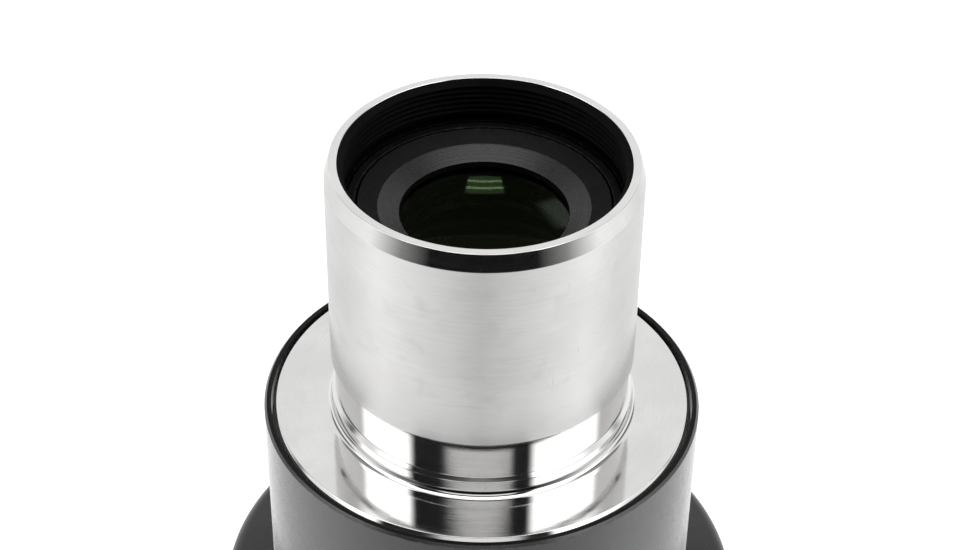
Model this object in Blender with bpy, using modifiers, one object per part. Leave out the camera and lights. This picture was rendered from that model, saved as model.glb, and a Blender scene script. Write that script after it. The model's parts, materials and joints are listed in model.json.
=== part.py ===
"""Telescope eyepiece for a 1.25 inch focuser: a wide-field design with a twist-up eyecup.

The eyepiece stands on its eyecup, nosepiece up. The optical axis is +Z, towards the telescope, and the
origin is the centre of the rim it stands on. Sizes are millimetres, turned into metres by MM where a mesh
or a location is made. Heights are measured from the shoulder, the polished face that stops against the
focuser: up is towards the telescope and down is towards the eye. Every piece hangs on an empty at the
shoulder. The pieces that move hang on two more empties, one that slides along the axis and one that also
turns about it.
"""

import math

import bmesh
import bpy
from mathutils import Matrix

MM = 0.001
SHELL_SEGMENTS = 36
INSIDE_SEGMENTS = 24
SCREW_SEGMENTS = 12
LENS_STEPS = 3
SHARP_ANGLE = math.radians(30)
MERGE_DISTANCE = 1e-6

# Overall
SHOULDER_HEIGHT = 70.0  # shoulder above the rim that the eyepiece stands on
REST_GAP = 0.2  # between a piece and the one it is pressed against
SLIDE_GAP = 0.3  # between the housing and the sleeve that turns on it

# Nosepiece: barrel, shoulder flange and threaded spigot
BARREL_RADIUS = 31.75 / 2
BARREL_HEIGHT = 30.3
RIM_BORE = 14.58
RIM_OUTER = 15.39
LEAD_TAPER = 1.82
FILTER_THREAD_MINOR = 13.93  # M28.5 x 0.6
FILTER_THREAD_END = 26.4
THREAD_RELIEF = 14.3
NOSEPIECE_BORE = 14.0
UNDERCUT_RADIUS = 15.47
UNDERCUT_TOP = 6.9
UNDERCUT_BOTTOM = 2.2
ROOT_FILLET = 0.7
FLANGE_RADIUS = 22.13
FLANGE_THICKNESS = 2.2
SPIGOT_RADIUS = 19.0
SPIGOT_LENGTH = 8.2
SEAL_GROOVE_RADIUS = 18.2
SEAL_GROOVE_BOTTOM = -4.0

# Field lens group, in its cell inside the barrel
CELL_FACE = 25.35
CELL_RADIUS = 13.75
CELL_BOTTOM = 5.0
RING_SEAT_RADIUS = 12.85
RING_THICKNESS = 2.05
RING_DISH_RADIUS = 10.65
RING_DISH_DEPTH = 0.6
RING_CONE_DEPTH = 1.35
FIELD_APERTURE = 8.5
FIELD_LENS_RADIUS = 9.3
FIELD_FRONT_THICKNESS = 4.6
FIELD_REAR_THICKNESS = 1.6
FIELD_FRONT_SAG = -1.1
FIELD_JOINT_SAG = 1.7
FIELD_REAR_SAG = -0.8
CELL_FLARE_RADIUS = 12.6

# Housing, the satin black tube below the shoulder
HOUSING_RADIUS = 23.1
HOUSING_LENGTH = 60.0
HOUSING_BORE = 20.4
HOUSING_EDGE = 0.27
FLANGE_SEAT_RADIUS = 22.35
LEDGE_TOP = -9.6
LEDGE_BOTTOM = -11.0
LEDGE_RADIUS = 17.8
STOP_THICKNESS = 1.0
STOP_APERTURE = 12.0

# Lens tube, which carries the main lens groups inside the housing
TUBE_RADIUS = 20.15
TUBE_BORE = 17.15
TUBE_TOP = -11.2
TUBE_BOTTOM = -55.4
EYE_BORE = 14.15
EYE_STEP = -41.0
TUBE_LIP_RADIUS = 12.6
TUBE_LIP_HEIGHT = 1.8
MAIN_LENS_RADIUS = 16.9
EYE_LENS_RADIUS = 13.9
RETAINER_THICKNESS = 2.4
RETAINER_BORE = 15.2
FIELD_SPACER_LENGTH = 3.0
FIELD_SPACER_BORE = 15.5
EYE_SPACER_LENGTH = 9.4
EYE_SPACER_TOP_BORE = 15.4
EYE_SPACER_LOW_BORE = 12.9
EYE_REAR_SAG = -0.6
EYE_FLINT_EDGE = 6.0
EYE_JOINT_SAG = -3.2
EYE_CROWN_EDGE = 3.1
EYE_FRONT_SAG = 2.6
MIDDLE_REAR_SAG = -4.0
MIDDLE_CROWN_EDGE = 2.5
MIDDLE_JOINT_SAG = 4.2
MIDDLE_FLINT_EDGE = 5.5
MIDDLE_FRONT_SAG = 0.9
COLLECTING_REAR_SAG = -1.2
COLLECTING_EDGE = 2.8
COLLECTING_FRONT_SAG = 1.9
COVER_TOP = -55.6
COVER_RADIUS = 20.15
COVER_LAND_BORE = 18.4
COVER_APERTURE = 13.4
COVER_EDGE = 1.6
NOTCH_WIDTH = 1.6
NOTCH_DEPTH = 1.0

# Twist-up sleeve and its grip
SLEEVE_TOP = -26.3
SLEEVE_BOTTOM = -63.2
SLEEVE_BORE = HOUSING_RADIUS + SLIDE_GAP
COLLAR_RADIUS = 28.7
COLLAR_EDGE = 1.3
COLLAR_BOTTOM = -31.0
REAR_COLLAR_RADIUS = 28.2
REAR_COLLAR_TOP = -57.6
REAR_COLLAR_EDGE = 0.9
GRIP_SEAT_RADIUS = 26.7
GRIP_RADIUS = 28.5
GRIP_GROOVE_DEPTH = 0.7
GRIP_RIBS = 36
GRIP_LAND = 0.68  # share of a rib pitch that is not groove
RING_SEAT_TOP = -60.4
RING_SEAT_BORE = 25.4

# Eyecup and the ring that holds it
EYECUP_RING_RADIUS = 25.2
EYECUP_RING_BORE = 20.6
EYECUP_NECK_RADIUS = 23.6
EYECUP_LIP_RADIUS = 24.8
EYECUP_NECK_LENGTH = 1.4
EYECUP_LIP_THICKNESS = 1.2
EYECUP_FOOT = -SHOULDER_HEIGHT
EYECUP_RADIUS = 27.4
EYECUP_FOOT_OUTER = 25.2
EYECUP_FOOT_INNER = 23.4
EYECUP_BORE = 22.4

# Motion of the sleeve: three screws ride in three helical grooves of the housing
SCREW_COUNT = 3
TWIST_ANGLE = math.radians(110)
TWIST_RISE = 10.0
SCREW_HEIGHT = -45.0
SCREW_TIP_RADIUS = 1.1
SCREW_BODY_RADIUS = 1.5
SOCKET_RADIUS = 0.75
SOCKET_DEPTH = 1.2
SCREW_TIP_DEPTH = 21.9  # distance of the tip from the optical axis
GROOVE_FLOOR = 21.6
GROOVE_WIDTH = 3.0
GROOVE_STEPS = 16
GROOVE_MARGIN = math.radians(4.5)
GLIDE_RING_HEIGHT = -29.8
GLIDE_GROOVE_RADIUS = 24.3
GLIDE_RING_WIDTH = 2.4
DRAG_RING_HEIGHT = -33.2
DRAG_GROOVE_RADIUS = 24.7
DRAG_RING_SECTION = 1.1


def clear_scene():
    for obj in list(bpy.data.objects):
        bpy.data.objects.remove(obj)
    for collection in list(bpy.data.collections):
        bpy.data.collections.remove(collection)


def new_collection(name):
    collection = bpy.data.collections.new(name)
    bpy.context.scene.collection.children.link(collection)
    return collection


def make_material(name, colour, roughness, metallic=0.0, transmission=0.0):
    material = bpy.data.materials.new(name)
    material.use_nodes = True
    shader = material.node_tree.nodes["Principled BSDF"]
    shader.inputs["Base Color"].default_value = (*colour, 1.0)
    shader.inputs["Roughness"].default_value = roughness
    shader.inputs["Metallic"].default_value = metallic
    shader.inputs["Transmission Weight"].default_value = transmission
    return material


def new_empty(name, parent=None):
    empty = bpy.data.objects.new(name, None)
    empty.empty_display_size = 5 * MM
    empty.parent = parent
    PARTS.objects.link(empty)
    return empty


def new_object(name, mesh, collection, material=None, parent=None):
    obj = bpy.data.objects.new(name, mesh)
    obj.parent = parent
    if material is not None:
        mesh.materials.append(material)
    collection.objects.link(obj)
    return obj


def arc(centre, radius, start, end, steps):
    """Points on a circle round a (radius, height) centre, between two angles in degrees from outwards."""
    angles = [math.radians(start + (end - start) * i / steps) for i in range(steps + 1)]
    return [(centre[0] + radius * math.cos(a), centre[1] + radius * math.sin(a)) for a in angles]


def turned(name, profile, material, parent, segments=SHELL_SEGMENTS, height=0.0, collection=None):
    """A body of revolution. Its profile of (radius, height) points runs down the outer side of the body.

    A profile that starts and ends on the axis makes a disc, and any other is closed into a ring."""
    mesh = bpy.data.meshes.new(name)
    points = [(r * MM, 0.0, z * MM) for r, z in profile]
    edges = [(i, i + 1) for i in range(len(points) - 1)]
    if profile[0][0] > 0:
        edges.append((len(points) - 1, 0))
    mesh.from_pydata(points, edges, [])
    obj = new_object(name, mesh, collection or PARTS, material, parent)
    obj.location.z = height * MM
    screw = obj.modifiers.new("Turn", "SCREW")
    screw.steps = segments
    screw.render_steps = segments
    screw.use_merge_vertices = True
    screw.merge_threshold = MERGE_DISTANCE
    return obj


def swept(name, section, start, sweep, rise, steps, material=None, parent=None, collection=None):
    """A rectangle of (radius, height) corners swept about the axis, rising evenly as it goes."""
    bm = bmesh.new()
    inner, outer, bottom, top = (value * MM for value in section)
    corners = [(inner, 0, bottom), (outer, 0, bottom), (outer, 0, top), (inner, 0, top)]
    bm.faces.new([bm.verts.new(corner) for corner in corners])
    bmesh.ops.rotate(bm, verts=bm.verts, matrix=Matrix.Rotation(start, 3, "Z"))
    first = list(bm.faces)
    bmesh.ops.spin(
        bm,
        geom=first,
        axis=(0, 0, 1),
        dvec=(0, 0, rise * MM / steps),
        angle=sweep,
        steps=steps,
        use_duplicate=False,
    )
    bmesh.ops.holes_fill(bm, edges=bm.edges)
    bmesh.ops.recalc_face_normals(bm, faces=bm.faces)
    mesh = bpy.data.meshes.new(name)
    bm.to_mesh(mesh)
    bm.free()
    return new_object(name, mesh, collection or PARTS, material, parent)


def make_cutter(obj):
    obj.hide_render = True
    obj.display_type = "WIRE"
    return obj


def cylinder_cutter(name, radius, length, location, rotation, vertices):
    bpy.ops.mesh.primitive_cylinder_add(
        vertices=vertices, radius=radius * MM, depth=length * MM, location=location, rotation=rotation
    )
    return make_cutter(adopt(name, CUTTERS))


def box_cutter(name, size, location):
    bpy.ops.mesh.primitive_cube_add(size=1, location=location)
    obj = adopt(name, CUTTERS)
    obj.data.transform(Matrix.Diagonal((*(side * MM for side in size), 1)))
    return make_cutter(obj)


def adopt(name, collection):
    """Names the object that a primitive operator has just made and moves it to a collection."""
    obj = bpy.context.object
    obj.name = name
    for owner in list(obj.users_collection):
        owner.objects.unlink(obj)
    collection.objects.link(obj)
    return obj


def cut(obj, cutter):
    boolean = obj.modifiers.new(cutter.name, "BOOLEAN")
    boolean.operation = "DIFFERENCE"
    boolean.solver = "EXACT"
    boolean.object = cutter


def freeze(obj):
    """Gives an object its evaluated mesh, shaded smooth except across its edges."""
    graph = bpy.context.evaluated_depsgraph_get()
    mesh = bpy.data.meshes.new_from_object(obj.evaluated_get(graph))
    obj.modifiers.clear()
    obj.data = mesh
    mesh.name = obj.name
    mesh.shade_smooth()
    mesh.set_sharp_from_angle(angle=SHARP_ANGLE)


def world_point(height, radius=0.0, angle=0.0):
    """World location of a point at a height from the shoulder, and a radius and direction from the axis."""
    x = radius * math.cos(angle) * MM
    y = radius * math.sin(angle) * MM
    return (x, y, (SHOULDER_HEIGHT + height) * MM)


def lens_surface(radius, sag):
    """Points of a spherical surface from its middle, at height sag, to its edge at height 0."""
    curve = (radius**2 + sag**2) / (2 * abs(sag))
    turn = math.asin(radius / curve)
    points = []
    for i in range(LENS_STEPS + 1):
        angle = turn * i / LENS_STEPS
        height = abs(sag) - curve * (1 - math.cos(angle))
        points.append((curve * math.sin(angle), math.copysign(height, sag)))
    return points


def bulge(radius, sag, seat_radius):
    """How far a spherical surface stands out from the plane of its edge, where a seat meets it."""
    depth = abs(sag)
    curve = (radius**2 + depth**2) / (2 * depth)
    return math.sqrt(curve**2 - seat_radius**2) - (curve - depth)


def lens(name, radius, edge, front_sag, rear_sag, height):
    """A lens with its rear edge at the given height and its front edge one edge thickness above it.

    A sag is the height of the middle of a surface above its edge. Returns the height of the front edge."""
    front = [(r, z + edge) for r, z in lens_surface(radius, front_sag)]
    rear = list(reversed(lens_surface(radius, rear_sag)))
    turned(name, front + rear, GLASS, SHOULDER, INSIDE_SEGMENTS, height)
    return height + edge


def nosepiece():
    """Barrel, shoulder flange and the spigot that screws into the housing, turned from one bar."""
    fillet_centre = (BARREL_RADIUS + ROOT_FILLET, ROOT_FILLET)
    undercut_depth = BARREL_RADIUS - UNDERCUT_RADIUS
    flange_edge = 0.35
    outer = [
        (RIM_OUTER, BARREL_HEIGHT),
        (BARREL_RADIUS, BARREL_HEIGHT - LEAD_TAPER),
        (BARREL_RADIUS, UNDERCUT_TOP),
        (UNDERCUT_RADIUS, UNDERCUT_TOP - undercut_depth / 2),
        (UNDERCUT_RADIUS, UNDERCUT_BOTTOM),
        (BARREL_RADIUS, UNDERCUT_BOTTOM - undercut_depth),
    ]
    flange = [
        (FLANGE_RADIUS - flange_edge, 0.0),
        (FLANGE_RADIUS, -flange_edge),
        (FLANGE_RADIUS, -FLANGE_THICKNESS),
    ]
    spigot = [
        (SEAL_GROOVE_RADIUS, -FLANGE_THICKNESS),
        (SEAL_GROOVE_RADIUS, SEAL_GROOVE_BOTTOM),
        (SPIGOT_RADIUS, SEAL_GROOVE_BOTTOM),
        (SPIGOT_RADIUS, -SPIGOT_LENGTH),
    ]
    bore = [
        (NOSEPIECE_BORE, -SPIGOT_LENGTH),
        (NOSEPIECE_BORE, CELL_FACE),
        (THREAD_RELIEF, CELL_FACE),
        (THREAD_RELIEF, FILTER_THREAD_END),
        (FILTER_THREAD_MINOR, FILTER_THREAD_END),
        (FILTER_THREAD_MINOR, BARREL_HEIGHT - (RIM_BORE - FILTER_THREAD_MINOR)),
        (RIM_BORE, BARREL_HEIGHT),
    ]
    fillet = arc(fillet_centre, ROOT_FILLET, 180, 270, 3)
    return turned("nosepiece", outer + fillet + flange + spigot + bore, POLISHED, SHOULDER)


def field_cell():
    """Tube inside the barrel that seats the field doublet and its retaining ring."""
    ring_floor = CELL_FACE - RING_THICKNESS - REST_GAP
    rear_bulge = bulge(FIELD_LENS_RADIUS, FIELD_REAR_SAG, FIELD_APERTURE)
    lens_floor = field_lens_height() - rear_bulge - REST_GAP
    lens_seat = FIELD_LENS_RADIUS + REST_GAP
    seat_land = 1.0
    profile = [
        (CELL_RADIUS, CELL_FACE),
        (CELL_RADIUS, CELL_BOTTOM),
        (CELL_FLARE_RADIUS, CELL_BOTTOM),
        (FIELD_APERTURE, lens_floor - seat_land),
        (FIELD_APERTURE, lens_floor),
        (lens_seat, lens_floor),
        (lens_seat, ring_floor),
        (RING_SEAT_RADIUS, ring_floor),
        (RING_SEAT_RADIUS, CELL_FACE),
    ]
    return turned("field_cell", profile, MATTE_BLACK, SHOULDER)


def field_retaining_ring():
    """Dished ring with a countersunk opening that holds the field doublet down in its cell."""
    outer = RING_SEAT_RADIUS - REST_GAP
    profile = [
        (outer, 0.0),
        (outer, -RING_THICKNESS),
        (FIELD_APERTURE, -RING_THICKNESS),
        (FIELD_APERTURE, -RING_CONE_DEPTH),
        (RING_DISH_RADIUS, -RING_DISH_DEPTH),
    ]
    return turned("field_retaining_ring", profile, MATTE_BLACK, SHOULDER, height=CELL_FACE)


def field_lens_height():
    """Height of the field doublet's rear edge, with its front edge just under the retaining ring."""
    return CELL_FACE - RING_THICKNESS - FIELD_FRONT_THICKNESS - FIELD_REAR_THICKNESS - 2 * REST_GAP


def field_doublet():
    """Negative doublet in the barrel: a hollow front element cemented to a fuller rear one."""
    radius, joint = FIELD_LENS_RADIUS, FIELD_JOINT_SAG
    height = field_lens_height()
    height = lens("field_lens_rear", radius, FIELD_REAR_THICKNESS, joint, FIELD_REAR_SAG, height)
    lens("field_lens_front", radius, FIELD_FRONT_THICKNESS, FIELD_FRONT_SAG, joint, height + REST_GAP)


def housing():
    """Main tube. The nosepiece screws into its top and the lens tube slides in from below.

    The grooves on its outside steer the sleeve."""
    outer = [
        (HOUSING_RADIUS - HOUSING_EDGE, 0.0),
        (HOUSING_RADIUS, -HOUSING_EDGE),
        (HOUSING_RADIUS, -HOUSING_LENGTH + HOUSING_EDGE),
        (HOUSING_RADIUS - HOUSING_EDGE, -HOUSING_LENGTH),
    ]
    flange_seat = -FLANGE_THICKNESS - REST_GAP
    thread_bore = SPIGOT_RADIUS + SLIDE_GAP
    inner = [
        (HOUSING_BORE, -HOUSING_LENGTH),
        (HOUSING_BORE, LEDGE_BOTTOM),
        (LEDGE_RADIUS, LEDGE_BOTTOM),
        (LEDGE_RADIUS, LEDGE_TOP),
        (thread_bore, LEDGE_TOP),
        (thread_bore, flange_seat),
        (FLANGE_SEAT_RADIUS, flange_seat),
        (FLANGE_SEAT_RADIUS, 0.0),
    ]
    tube = turned("housing", outer + inner, SATIN_BLACK, SHOULDER)
    for index in range(SCREW_COUNT):
        cut(tube, groove_cutter(index))
    return tube


def groove_cutter(index):
    """Helical channel that one guide screw rides in, with room past each end of the travel."""
    margin_rise = TWIST_RISE * GROOVE_MARGIN / TWIST_ANGLE
    section = (
        GROOVE_FLOOR,
        HOUSING_RADIUS + 1.0,
        SCREW_HEIGHT - TWIST_RISE - margin_rise - GROOVE_WIDTH / 2,
        SCREW_HEIGHT - TWIST_RISE - margin_rise + GROOVE_WIDTH / 2,
    )
    cutter = swept(
        f"groove_cutter_{index + 1}",
        section,
        screw_angle(index) - TWIST_ANGLE - GROOVE_MARGIN,
        TWIST_ANGLE + 2 * GROOVE_MARGIN,
        TWIST_RISE + 2 * margin_rise,
        GROOVE_STEPS,
        parent=SHOULDER,
        collection=CUTTERS,
    )
    return make_cutter(cutter)


def screw_angle(index):
    return math.radians(90 + 360 * index / SCREW_COUNT)


def field_stop():
    """Thin knife-edged ring clamped between the spigot and the housing's ledge. It frames the view."""
    top = LEDGE_TOP + REST_GAP + STOP_THICKNESS
    profile = [
        (SPIGOT_RADIUS, 0.0),
        (SPIGOT_RADIUS, -STOP_THICKNESS),
        (STOP_APERTURE + STOP_THICKNESS, -STOP_THICKNESS),
        (STOP_APERTURE, 0.0),
    ]
    return turned("field_stop", profile, MATTE_BLACK, SHOULDER, height=top)


def shoulder_seal():
    """Rubber ring at the root of the spigot that keeps dust and damp out of the housing."""
    thickness = 0.7
    middle = (SEAL_GROOVE_RADIUS + SPIGOT_RADIUS + SLIDE_GAP) / 2
    height = (SEAL_GROOVE_BOTTOM - FLANGE_THICKNESS) / 2
    return rubber_ring("shoulder_seal", middle, thickness / 2, height, SHOULDER)


def rubber_ring(name, radius, section_radius, height, parent):
    bpy.ops.mesh.primitive_torus_add(
        major_radius=radius * MM,
        minor_radius=section_radius * MM,
        major_segments=INSIDE_SEGMENTS,
        minor_segments=6,
    )
    ring = adopt(name, PARTS)
    ring.data.materials.append(RUBBER)
    ring.parent = parent
    ring.location.z = height * MM
    return ring


def lens_tube():
    """Stepped tube that carries the main lens groups, closed by a lip at the eye end."""
    lip = TUBE_BOTTOM + TUBE_LIP_HEIGHT
    profile = [
        (TUBE_RADIUS, TUBE_TOP),
        (TUBE_RADIUS, TUBE_BOTTOM),
        (TUBE_LIP_RADIUS, TUBE_BOTTOM),
        (TUBE_LIP_RADIUS, lip),
        (EYE_BORE, lip),
        (EYE_BORE, EYE_STEP),
        (TUBE_BORE, EYE_STEP),
        (TUBE_BORE, TUBE_TOP),
    ]
    return turned("lens_tube", profile, MATTE_BLACK, SHOULDER)


def plain_ring(name, bore, length, height):
    """A ring of the main lenses' radius, with its lower face at the given height."""
    profile = [(MAIN_LENS_RADIUS, length), (MAIN_LENS_RADIUS, 0.0), (bore, 0.0), (bore, length)]
    turned(name, profile, MATTE_BLACK, SHOULDER, INSIDE_SEGMENTS, height)
    return height + length


def main_lens_groups():
    """Eye doublet, middle doublet and collecting lens, stacked up the lens tube with rings between.

    Each ring touches the lens beside it on the curve, at the edge of the ring's bore."""
    eye, main = EYE_LENS_RADIUS, MAIN_LENS_RADIUS
    joint = MIDDLE_JOINT_SAG
    height = TUBE_BOTTOM + TUBE_LIP_HEIGHT + REST_GAP + bulge(eye, EYE_REAR_SAG, TUBE_LIP_RADIUS)
    height = lens("eye_lens_flint", eye, EYE_FLINT_EDGE, EYE_JOINT_SAG, EYE_REAR_SAG, height)
    height = lens("eye_lens_crown", eye, EYE_CROWN_EDGE, EYE_FRONT_SAG, EYE_JOINT_SAG, height + REST_GAP)

    height += REST_GAP + bulge(eye, EYE_FRONT_SAG, EYE_SPACER_LOW_BORE)
    height = stepped_spacer(height)
    height += REST_GAP + bulge(main, MIDDLE_REAR_SAG, EYE_SPACER_TOP_BORE)
    height = lens("middle_lens_crown", main, MIDDLE_CROWN_EDGE, joint, MIDDLE_REAR_SAG, height)
    height = lens("middle_lens_flint", main, MIDDLE_FLINT_EDGE, MIDDLE_FRONT_SAG, joint, height + REST_GAP)

    height += REST_GAP + bulge(main, MIDDLE_FRONT_SAG, FIELD_SPACER_BORE)
    height = plain_ring("field_side_spacer", FIELD_SPACER_BORE, FIELD_SPACER_LENGTH, height)
    height += REST_GAP + bulge(main, COLLECTING_REAR_SAG, FIELD_SPACER_BORE)
    height = lens("collecting_lens", main, COLLECTING_EDGE, COLLECTING_FRONT_SAG, COLLECTING_REAR_SAG, height)
    height += REST_GAP + bulge(main, COLLECTING_FRONT_SAG, RETAINER_BORE)
    plain_ring("main_retaining_ring", RETAINER_BORE, RETAINER_THICKNESS, height)


def stepped_spacer(height):
    """Ring between the two doublets, whose narrower lower end reaches down to the eye doublet."""
    step = EYE_STEP + REST_GAP - height
    profile = [
        (MAIN_LENS_RADIUS, EYE_SPACER_LENGTH),
        (MAIN_LENS_RADIUS, step),
        (EYE_LENS_RADIUS, step),
        (EYE_LENS_RADIUS, 0.0),
        (EYE_SPACER_LOW_BORE, 0.0),
        (EYE_SPACER_TOP_BORE, EYE_SPACER_LENGTH),
    ]
    turned("eye_side_spacer", profile, MATTE_BLACK, SHOULDER, INSIDE_SEGMENTS, height)
    return height + EYE_SPACER_LENGTH


def eye_cover_ring():
    """Dished ring screwed into the housing's eye end to hold the lens tube, notched for a spanner."""
    length = HOUSING_LENGTH + COVER_TOP
    profile = [
        (COVER_RADIUS, 0.0),
        (COVER_RADIUS, -length),
        (COVER_LAND_BORE, -length),
        (COVER_APERTURE, -COVER_EDGE),
        (COVER_APERTURE, 0.0),
    ]
    ring = turned("eye_cover_ring", profile, SATIN_BLACK, SHOULDER, height=COVER_TOP)
    notch_size = (2 * HOUSING_RADIUS, NOTCH_WIDTH, 2 * NOTCH_DEPTH)
    notch = box_cutter("spanner_notches", notch_size, world_point(-HOUSING_LENGTH))
    cut(ring, notch)
    return ring


def twist_sleeve():
    """Sleeve that turns and slides on the housing, with collars beside the grip and two grooved rings."""
    edge_centre = (COLLAR_RADIUS - COLLAR_EDGE, SLEEVE_TOP - COLLAR_EDGE)
    outer = arc(edge_centre, COLLAR_EDGE, 90, 0, 3) + [
        (COLLAR_RADIUS, COLLAR_BOTTOM),
        (GRIP_SEAT_RADIUS, COLLAR_BOTTOM),
        (GRIP_SEAT_RADIUS, REAR_COLLAR_TOP),
        (REAR_COLLAR_RADIUS, REAR_COLLAR_TOP),
        (REAR_COLLAR_RADIUS, SLEEVE_BOTTOM + REAR_COLLAR_EDGE),
        (REAR_COLLAR_RADIUS - REAR_COLLAR_EDGE, SLEEVE_BOTTOM),
    ]
    drag_half = DRAG_RING_SECTION / 2 + 2 * REST_GAP
    glide_half = GLIDE_RING_WIDTH / 2 + REST_GAP
    inner = [
        (RING_SEAT_BORE, SLEEVE_BOTTOM),
        (RING_SEAT_BORE, RING_SEAT_TOP),
        (SLEEVE_BORE, RING_SEAT_TOP),
        (SLEEVE_BORE, DRAG_RING_HEIGHT - drag_half),
        (DRAG_GROOVE_RADIUS, DRAG_RING_HEIGHT - drag_half),
        (DRAG_GROOVE_RADIUS, DRAG_RING_HEIGHT + drag_half),
        (SLEEVE_BORE, DRAG_RING_HEIGHT + drag_half),
        (SLEEVE_BORE, GLIDE_RING_HEIGHT - glide_half),
        (GLIDE_GROOVE_RADIUS, GLIDE_RING_HEIGHT - glide_half),
        (GLIDE_GROOVE_RADIUS, GLIDE_RING_HEIGHT + glide_half),
        (SLEEVE_BORE, GLIDE_RING_HEIGHT + glide_half),
        (SLEEVE_BORE, SLEEVE_TOP),
    ]
    sleeve = turned("twist_sleeve", outer + inner, SATIN_BLACK, TURNING)
    for index in range(SCREW_COUNT):
        angle = screw_angle(index)
        location = world_point(SCREW_HEIGHT, (SLEEVE_BORE + GRIP_SEAT_RADIUS) / 2, angle)
        name = f"screw_hole_{index + 1}"
        radius = SCREW_BODY_RADIUS + REST_GAP
        depth = 2 * (GRIP_SEAT_RADIUS - SLEEVE_BORE)
        turn = (0, math.pi / 2, angle)
        cut(sleeve, cylinder_cutter(name, radius, depth, location, turn, SCREW_SEGMENTS))
    return sleeve


def grip_band():
    """Rubber band with ribs along the axis, stretched into the recess between the sleeve's collars."""
    gap = SLIDE_GAP
    length = COLLAR_BOTTOM - REAR_COLLAR_TOP - 2 * gap
    curve = bpy.data.curves.new("grip_band", "CURVE")
    curve.dimensions = "2D"
    curve.fill_mode = "BOTH"
    curve.extrude = length / 2 * MM
    inner_radius = GRIP_SEAT_RADIUS + REST_GAP
    pitch = 2 * math.pi / GRIP_RIBS
    outer_points = []
    for rib in range(GRIP_RIBS):
        for share, depth in ((-GRIP_LAND / 2, 0.0), (GRIP_LAND / 2, 0.0), (0.5, GRIP_GROOVE_DEPTH)):
            angle = (rib + share) * pitch
            radius = GRIP_RADIUS - depth
            outer_points.append((radius * math.cos(angle), radius * math.sin(angle)))
    turns = [2 * math.pi * i / SHELL_SEGMENTS for i in range(SHELL_SEGMENTS)]
    inner_points = [(inner_radius * math.cos(a), inner_radius * math.sin(a)) for a in turns]
    for points in (outer_points, inner_points):
        spline = curve.splines.new("POLY")
        spline.points.add(len(points) - 1)
        spline.use_cyclic_u = True
        for point, (x, y) in zip(spline.points, points):
            point.co = (x * MM, y * MM, 0.0, 1.0)
    curve.materials.append(RUBBER)
    band = bpy.data.objects.new("grip_band", curve)
    band.parent = TURNING
    band.location.z = (COLLAR_BOTTOM + REAR_COLLAR_TOP) / 2 * MM
    PARTS.objects.link(band)
    return band


def eyecup_ring():
    """Ring screwed into the sleeve's end, with a lip that the rubber eyecup is stretched over."""
    neck_top = SLEEVE_BOTTOM
    lip_top = neck_top - EYECUP_NECK_LENGTH
    lip_bottom = lip_top - EYECUP_LIP_THICKNESS
    edge = EYECUP_LIP_THICKNESS / 2
    profile = [
        (EYECUP_RING_RADIUS, RING_SEAT_TOP - REST_GAP),
        (EYECUP_RING_RADIUS, neck_top),
        (EYECUP_NECK_RADIUS, neck_top),
        (EYECUP_NECK_RADIUS, lip_top),
        (EYECUP_LIP_RADIUS, lip_top),
        (EYECUP_LIP_RADIUS, lip_bottom),
        (EYECUP_RING_BORE + edge, lip_bottom),
        (EYECUP_RING_BORE, lip_bottom + edge),
        (EYECUP_RING_BORE, RING_SEAT_TOP - REST_GAP),
    ]
    return turned("eyecup_ring", profile, SATIN_BLACK, TURNING)


def eyecup():
    """Soft rubber cup. Its bead grips the neck of the eyecup ring, and its flat rim is the foot."""
    top = SLEEVE_BOTTOM - SLIDE_GAP
    lip_top = SLEEVE_BOTTOM - EYECUP_NECK_LENGTH + REST_GAP
    lip_bottom = lip_top - EYECUP_LIP_THICKNESS - 2 * REST_GAP
    profile = [
        (EYECUP_RADIUS, top),
        (EYECUP_RADIUS - 0.2, lip_bottom),
        (EYECUP_FOOT_OUTER + 0.7, EYECUP_FOOT + 1.0),
        (EYECUP_FOOT_OUTER, EYECUP_FOOT),
        (EYECUP_FOOT_INNER, EYECUP_FOOT),
        (EYECUP_FOOT_INNER - 0.6, EYECUP_FOOT + 0.7),
        (EYECUP_BORE, lip_bottom),
        (EYECUP_LIP_RADIUS + REST_GAP, lip_bottom),
        (EYECUP_LIP_RADIUS + REST_GAP, lip_top),
        (EYECUP_NECK_RADIUS + REST_GAP, lip_top),
        (EYECUP_NECK_RADIUS + REST_GAP, top),
    ]
    return turned("eyecup", profile, RUBBER, TURNING)


def guide_screw(index):
    """Grub screw through the sleeve, with a socket head and a plain tip that rides in a groove."""
    head = GRIP_SEAT_RADIUS - 2 * REST_GAP
    shank = SLEEVE_BORE + SLIDE_GAP
    name = f"guide_screw_{index + 1}"
    profile = [
        (0.0, head),
        (SCREW_BODY_RADIUS, head),
        (SCREW_BODY_RADIUS, shank),
        (SCREW_TIP_RADIUS, shank),
        (SCREW_TIP_RADIUS, SCREW_TIP_DEPTH),
        (0.0, SCREW_TIP_DEPTH),
    ]
    screw = turned(name, profile, STEEL, TURNING, SCREW_SEGMENTS)
    angle = screw_angle(index)
    screw.location.z = SCREW_HEIGHT * MM
    screw.rotation_euler = (0, math.pi / 2, angle)
    socket_location = world_point(SCREW_HEIGHT, head, angle)
    turn = (0, math.pi / 2, angle)
    socket = cylinder_cutter(f"socket_{index + 1}", SOCKET_RADIUS, 2 * SOCKET_DEPTH, socket_location, turn, 6)
    cut(screw, socket)
    return screw


def glide_ring():
    """Slippery split ring in the sleeve's bore that keeps the sleeve true on the housing."""
    half = GLIDE_RING_WIDTH / 2
    inner = HOUSING_RADIUS + REST_GAP
    section = (inner, GLIDE_GROOVE_RADIUS - REST_GAP, GLIDE_RING_HEIGHT - half, GLIDE_RING_HEIGHT + half)
    split = math.radians(6)
    sweep = 2 * math.pi - split
    return swept("glide_ring", section, split / 2, sweep, 0.0, SHELL_SEGMENTS, PTFE, SLIDING)


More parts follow.
